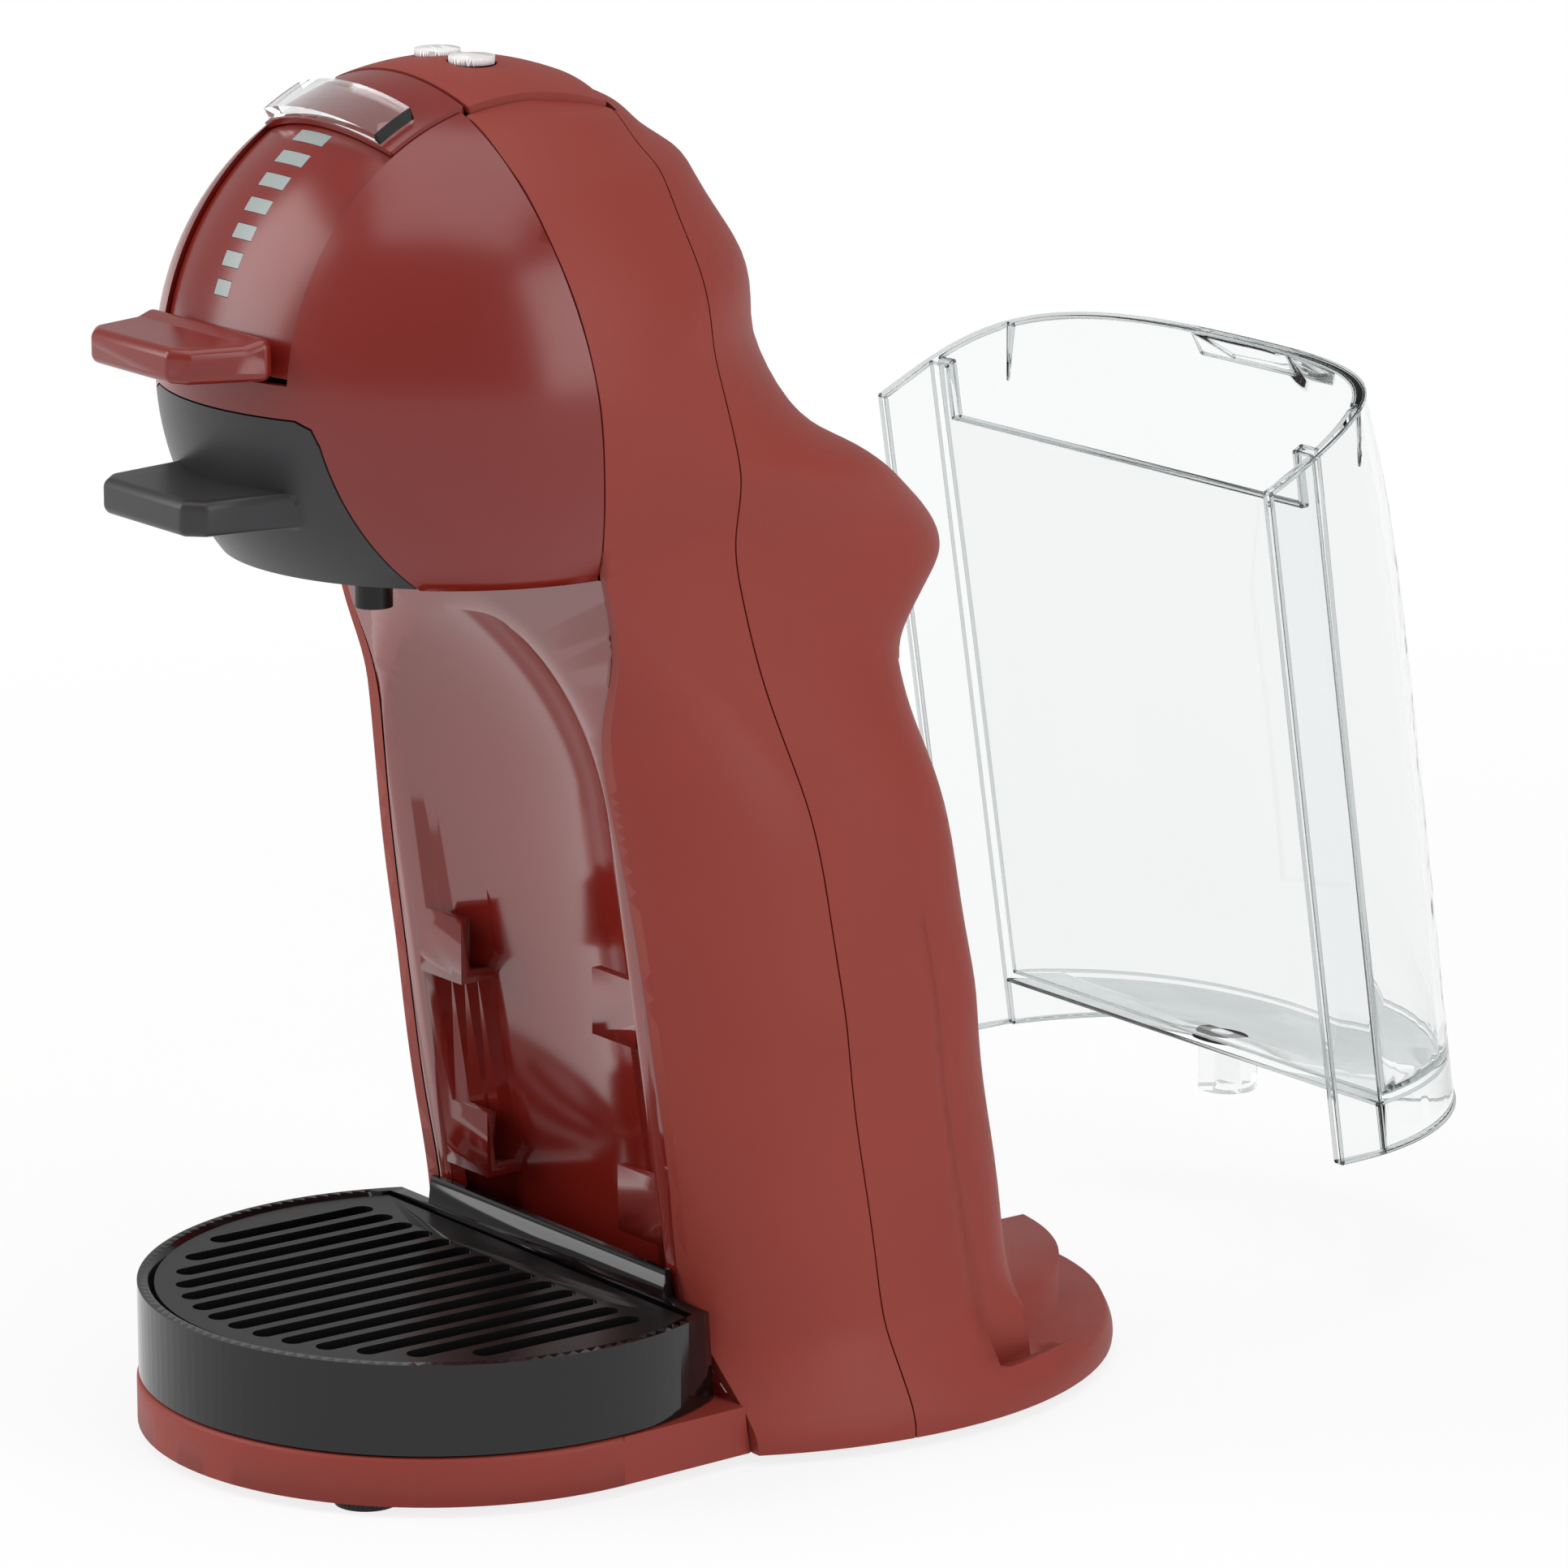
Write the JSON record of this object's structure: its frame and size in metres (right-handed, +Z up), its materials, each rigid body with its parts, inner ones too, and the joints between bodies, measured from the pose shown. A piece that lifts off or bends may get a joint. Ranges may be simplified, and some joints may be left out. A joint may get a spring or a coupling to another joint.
{
  "type": "pod coffee machine",
  "caption": "Upright pod coffee machine with a round head, locking lever, sliding pod holder, drip tray and a clear water tank drawn off behind it.",
  "frame": {"origin": "on the floor under the middle of the whole part, the drawn-off tank included", "axes": "+Z up, -Y the side with the drip tray, +X to the right seen from behind the tank"},
  "size_m": [0.1604, 0.3506, 0.305],
  "materials": {
    "matte_red": "fine matte",
    "gloss_red": "high gloss",
    "white": "satin",
    "window_grey": "satin",
    "clear_plastic": "clear",
    "dark_grey": "satin",
    "black_gloss": "high gloss",
    "black_matte": "satin",
    "rubber": "matte",
    "aluminium": "cast",
    "board": "satin",
    "capacitor": "satin",
    "steel": "brushed",
    "brass": "plain"
  },
  "bodies": {
    "housing": {"front_shell": "matte_red", "rear_shell": "matte_red", "top_cap": "matte_red", "base_plate": "matte_red", "head_dome": "gloss_red", "upper_strip": "gloss_red", "front_panel": "gloss_red", "valve_seat": "black_matte", "pump_body": "black_matte", "head_frame": "black_matte", "injector_guide": "black_matte", "cord_gland": "black_matte", "flow_meter": "black_matte", "feet": "rubber", "seat_seal": "rubber", "pump_mounts": "rubber", "inlet_hose": "rubber", "pump_hose": "rubber", "brew_hose": "rubber", "thermoblock": "aluminium", "thermal_fuses": "aluminium", "power_board": "board", "control_board": "board", "board_capacitors": "capacitor", "lever_pins": "steel", "shell_screws": "steel"},
    "lever": {"locking_lever": "gloss_red", "level_windows": "window_grey", "lever_bushings": "brass"},
    "slider": {"volume_slider": "clear_plastic"},
    "hot_key": {"hot_button": "white"},
    "cold_key": {"cold_button": "white"},
    "pod_drawer": {"pod_holder": "dark_grey", "coffee_outlet": "black_matte"},
    "tray": {"drip_tray": "black_gloss"},
    "grille": {"tray_grille": "black_matte"},
    "tank": {"tank_vessel": "clear_plastic", "tank_valve": "clear_plastic"},
    "injector": {"injector_head": "black_matte", "injector_needle": "steel"}
  },
  "joints": [
    {"name": "lever_lift", "type": "hinge", "parent": "housing", "child": "lever", "pos_m": [0, -0.09181, 0.2382], "axis": [-1, 0, 0], "range_deg": [0, 30]},
    {"name": "volume_slide", "type": "hinge", "parent": "housing", "child": "slider", "pos_m": [0, -0.09181, 0.2382], "axis": [-1, 0, 0], "range_deg": [-36, 0]},
    {"name": "hot_button_press", "type": "slide", "parent": "housing", "child": "hot_key", "axis": [0, 0, -1], "range_m": [0, 0.001], "stiffness_N_per_m": 300, "springref_m": -0.001},
    {"name": "cold_button_press", "type": "slide", "parent": "housing", "child": "cold_key", "axis": [0, 0, -1], "range_m": [0, 0.001], "stiffness_N_per_m": 300, "springref_m": -0.001},
    {"name": "pod_holder_slide", "type": "slide", "parent": "housing", "child": "pod_drawer", "axis": [0, -1, 0], "range_m": [0, 0.075]},
    {"name": "drip_tray_slide", "type": "slide", "parent": "housing", "child": "tray", "axis": [0, -1, 0], "range_m": [0, 0.09]},
    {"name": "grille_lift", "type": "slide", "parent": "tray", "child": "grille", "axis": [0, 0, 1], "range_m": [0, 0.03]},
    {"name": "tank_withdraw", "type": "slide", "parent": "housing", "child": "tank", "axis": [0, 0.9619, 0.2735], "range_m": [-0.10594, 0]},
    {"name": "injector_stroke", "type": "slide", "parent": "housing", "child": "injector", "axis": [0, 0, 1], "range_m": [0, 0.0061]}
  ],
  "couplings": [
    {"joint": "injector_stroke", "follows": "lever_lift", "m_per_rad": 0.011459}
  ]
}
